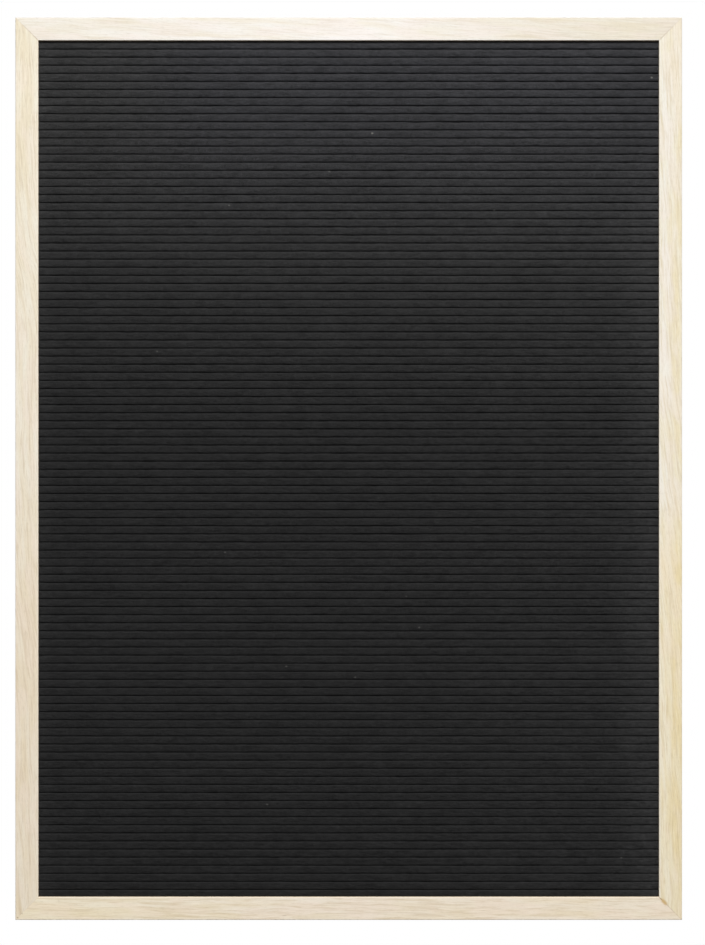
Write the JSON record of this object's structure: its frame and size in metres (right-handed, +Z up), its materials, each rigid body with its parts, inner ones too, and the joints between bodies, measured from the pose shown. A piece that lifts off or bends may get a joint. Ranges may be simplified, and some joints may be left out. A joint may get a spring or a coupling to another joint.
{
  "type": "letter board",
  "caption": "Wall-hung letter board: a black felt panel with level grooves for letters, in a mitred pale oak frame with hinged hanging rings and rubber bumpers on its back.",
  "frame": {"origin": "on the wall, behind the middle of the board: the plane that the four bumpers touch", "axes": "+Z up the board, +X to the right seen from the front, +Y into the wall; the felt faces -Y"},
  "size_m": [0.523, 0.0235, 0.708],
  "materials": {
    "oak": "pale limed oak, matt",
    "nail_steel": "bare steel",
    "felt": "black wool felt",
    "slat_wood": "sawn",
    "hardboard": "smooth brown hardboard",
    "fibreboard": "raw brown fibreboard",
    "point_steel": "blackened spring steel",
    "zinc": "zinc plated",
    "ring_steel": "nickel plated",
    "rubber": "matt grey"
  },
  "bodies": {
    "board": {"left_stile": "oak", "right_stile": "oak", "top_rail": "oak", "bottom_rail": "oak", "v_nails_top_left": "nail_steel", "v_nails_top_right": "nail_steel", "v_nails_bottom_left": "nail_steel", "v_nails_bottom_right": "nail_steel", "felt": "felt", "slats": "slat_wood", "bottom_end_slat": "slat_wood", "top_end_slat": "slat_wood", "slat_board": "hardboard", "back_cover": "fibreboard", "points_left": "point_steel", "points_right": "point_steel", "points_top": "point_steel", "points_bottom": "point_steel", "left_hanger_strap": "zinc", "right_hanger_strap": "zinc", "left_hanger_screw": "zinc", "right_hanger_screw": "zinc", "bumper_top_left": "rubber", "bumper_top_right": "rubber", "bumper_bottom_left": "rubber", "bumper_bottom_right": "rubber"},
    "left_ring": {"left_hanger_ring": "ring_steel"},
    "right_ring": {"right_hanger_ring": "ring_steel"}
  },
  "joints": [
    {"name": "left_ring_swing", "type": "hinge", "parent": "board", "child": "left_ring", "pos_m": [-0.254, -0.00182, 0.244], "axis": [1, 0, 0], "range_deg": [0, 177]},
    {"name": "right_ring_swing", "type": "hinge", "parent": "board", "child": "right_ring", "pos_m": [0.254, -0.00182, 0.244], "axis": [1, 0, 0], "range_deg": [0, 177]}
  ]
}
